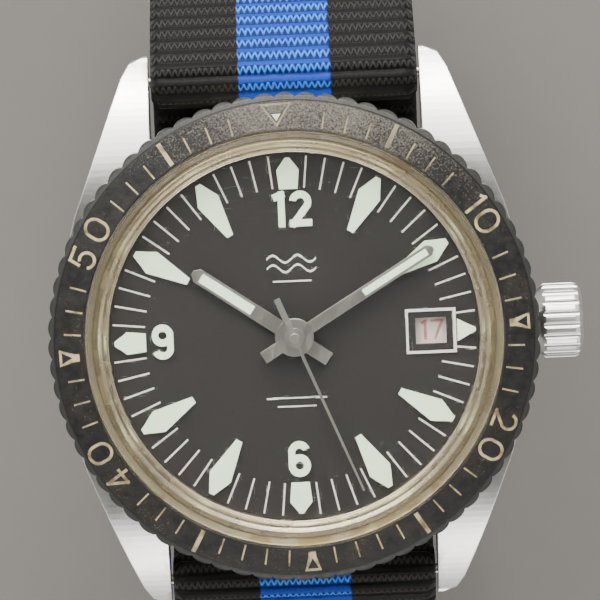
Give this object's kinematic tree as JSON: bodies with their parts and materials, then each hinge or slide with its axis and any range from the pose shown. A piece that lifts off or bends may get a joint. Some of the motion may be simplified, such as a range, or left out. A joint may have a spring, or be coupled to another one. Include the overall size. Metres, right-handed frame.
{
  "type": "dive watch",
  "caption": "Mechanical dive watch with a turning scalloped bezel, domed crystal, dated dial, fluted crown and a ribbed nylon strap buckled into a loop.",
  "frame": {"origin": "on the plane that the closed strap stands on, straight under the dial centre", "axes": "+Z out of the dial, +Y towards 12 o'clock, +X towards the crown at 3 o'clock"},
  "size_m": [0.0393, 0.0585, 0.0547],
  "materials": {
    "steel_polished": "polished",
    "steel_brushed": "brushed",
    "bezel_black": "worn gloss",
    "engraving_gold": "matte",
    "lume": "matte",
    "acrylic": "polished",
    "ring_gold": "satin",
    "dial_dark": "matte",
    "print_white": "matte",
    "date_disc": "matte",
    "date_red": "matte",
    "hand_steel": "polished",
    "brass": "satin",
    "ruby": "gloss",
    "blued_steel": "gloss",
    "rubber": "matte",
    "strap_weave": "woven"
  },
  "bodies": {
    "case": {"case_middle": "steel_polished", "case_back": "steel_brushed", "case_back_gasket": "rubber", "crown_tube": "steel_brushed", "crystal": "acrylic", "tension_ring": "ring_gold", "movement_ring": "steel_brushed", "spring_bars": "steel_brushed", "bezel_spring": "steel_brushed", "dial": "dial_dark", "date_frame": "print_white", "date_bevel": "dial_dark", "dial_indices": "lume", "dial_numerals": "lume", "minute_track": "print_white", "dial_printing": "print_white", "date_jumper": "steel_brushed", "main_plate": "brass", "barrel_bridge": "steel_brushed", "train_bridge": "steel_brushed", "balance_cock": "steel_brushed", "jewels": "ruby", "bridge_screws": "blued_steel", "click": "steel_brushed", "hairspring": "blued_steel", "strap": "strap_weave", "buckle_frame": "steel_polished", "buckle_pin": "steel_polished", "keeper_rings": "steel_polished"},
    "bezel": {"bezel_ring": "bezel_black", "bezel_markings": "engraving_gold", "bezel_pip": "lume"},
    "minute": {"centre_wheel": "brass", "cannon_pinion": "steel_brushed", "minute_hand": "hand_steel", "minute_hand_lume": "lume"},
    "third": {"third_wheel": "brass"},
    "seconds": {"fourth_wheel": "brass", "second_hand": "hand_steel"},
    "escape": {"escape_wheel": "brass"},
    "barrel": {"barrel_drum": "brass", "barrel_cover": "brass", "mainspring": "steel_brushed"},
    "minute_work": {"minute_wheel": "brass"},
    "hour": {"hour_wheel": "brass", "hour_hand": "hand_steel", "hour_hand_lume": "lume"},
    "pallet": {"pallet_fork": "steel_brushed"},
    "balance": {"balance_wheel": "brass"},
    "date": {"date_ring": "date_disc", "date_numerals": "date_red"},
    "winding": {"winding_pinion": "steel_brushed"},
    "crown": {"crown": "steel_polished", "crown_gasket": "rubber", "winding_stem": "steel_brushed"},
    "clutch": {"sliding_pinion": "steel_brushed"},
    "crown_wheel": {"crown_wheel": "steel_brushed"},
    "ratchet": {"ratchet_wheel": "steel_brushed", "barrel_arbor": "steel_brushed"},
    "tongue": {"buckle_tongue": "steel_polished"}
  },
  "joints": [
    {"name": "bezel_turn", "type": "hinge", "parent": "case", "child": "bezel", "pos_m": [0, 0, 0.0515], "axis": [0, 0, -1], "continuous": true},
    {"name": "minute_turn", "type": "hinge", "parent": "case", "child": "minute", "pos_m": [0, 0, 0.0465], "axis": [0, 0, -1], "continuous": true},
    {"name": "third_turn", "type": "hinge", "parent": "case", "child": "third", "pos_m": [-0.00468, 0.0027, 0.046], "axis": [0, 0, -1], "continuous": true},
    {"name": "seconds_turn", "type": "hinge", "parent": "case", "child": "seconds", "pos_m": [0, 0, 0.046], "axis": [0, 0, -1], "continuous": true},
    {"name": "escape_turn", "type": "hinge", "parent": "case", "child": "escape", "pos_m": [-0.00178, -0.00488, 0.046], "axis": [0, 0, -1], "continuous": true},
    {"name": "barrel_turn", "type": "hinge", "parent": "case", "child": "barrel", "pos_m": [0.00315, 0.00546, 0.047], "axis": [0, 0, -1], "continuous": true, "deforming": ["mainspring"]},
    {"name": "minute_work_turn", "type": "hinge", "parent": "case", "child": "minute_work", "pos_m": [-0.00295, -0.00206, 0.049], "axis": [0, 0, -1], "continuous": true},
    {"name": "hour_turn", "type": "hinge", "parent": "case", "child": "hour", "pos_m": [0, 0, 0.0491], "axis": [0, 0, -1], "continuous": true},
    {"name": "pallet_rock", "type": "hinge", "parent": "case", "child": "pallet", "pos_m": [0.00079, -0.00588, 0.0462], "axis": [0, 0, -1], "range_deg": [-5, 5]},
    {"name": "balance_swing", "type": "hinge", "parent": "case", "child": "balance", "pos_m": [0.00415, -0.00719, 0.046], "axis": [0, 0, -1], "range_deg": [-270, 270], "stiffness_Nm_per_rad": 0.000000025, "deforming": ["hairspring"]},
    {"name": "date_turn", "type": "hinge", "parent": "case", "child": "date", "pos_m": [0, 0, 0.0494], "axis": [0, 0, -1], "continuous": true},
    {"name": "crown_turn", "type": "hinge", "parent": "case", "child": "winding", "pos_m": [0.0104, 0, 0.0478], "axis": [1, 0, 0], "continuous": true},
    {"name": "crown_pull", "type": "slide", "parent": "winding", "child": "crown", "axis": [1, 0, 0], "range_m": [0, 0.0009]},
    {"name": "clutch_slide", "type": "slide", "parent": "winding", "child": "clutch", "axis": [1, 0, 0], "range_m": [-0.00045, 0]},
    {"name": "crown_wheel_turn", "type": "hinge", "parent": "case", "child": "crown_wheel", "pos_m": [0.0086, 0, 0.0451], "axis": [0, 0, 1], "continuous": true},
    {"name": "ratchet_turn", "type": "hinge", "parent": "case", "child": "ratchet", "pos_m": [0.00315, 0.00546, 0.0451], "axis": [0, 0, 1], "continuous": true},
    {"name": "tongue_swing", "type": "hinge", "parent": "case", "child": "tongue", "pos_m": [0, 0.001, 0.0045], "axis": [1, 0, 0], "range_deg": [0, 15]}
  ],
  "couplings": [
    {"joint": "third_turn", "follows": "minute_turn", "ratio": -8},
    {"joint": "seconds_turn", "follows": "minute_turn", "ratio": 60},
    {"joint": "escape_turn", "follows": "minute_turn", "ratio": -600},
    {"joint": "barrel_turn", "follows": "minute_turn", "ratio": -0.16667},
    {"joint": "minute_work_turn", "follows": "minute_turn", "ratio": -0.33333},
    {"joint": "hour_turn", "follows": "minute_turn", "ratio": 0.083333},
    {"joint": "crown_wheel_turn", "follows": "crown_turn", "ratio": 0.58333},
    {"joint": "ratchet_turn", "follows": "crown_turn", "ratio": -0.33333},
    {"joint": "clutch_slide", "follows": "crown_pull", "ratio": -0.5}
  ]
}
